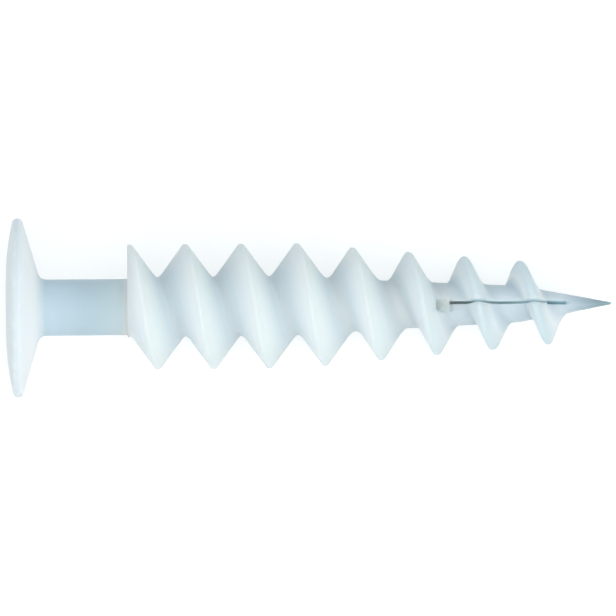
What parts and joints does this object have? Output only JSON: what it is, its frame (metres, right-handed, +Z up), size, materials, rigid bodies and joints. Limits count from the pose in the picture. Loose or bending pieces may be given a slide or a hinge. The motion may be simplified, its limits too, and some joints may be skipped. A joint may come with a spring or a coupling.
{
  "type": "insulation plug",
  "caption": "One-piece nylon plug for soft insulation board: wide domed head with six-lobed drive, slender shank, coarse tapering thread, screw bore and slit point, lying at rest.",
  "frame": {"origin": "centre of the bounding box's bottom face, on the surface that the plug lies on", "axes": "+X along the plug from head to point, level with the surface, +Z up; the plug's own axis dips towards the point by 5.28 degrees, as it rests on its rim and thread"},
  "size_m": [0.0852, 0.0252, 0.0251],
  "materials": {
    "nylon": "natural translucent nylon, satin from the mould"
  },
  "bodies": {
    "root": {"insulation_plug": "nylon"}
  },
  "joints": []
}
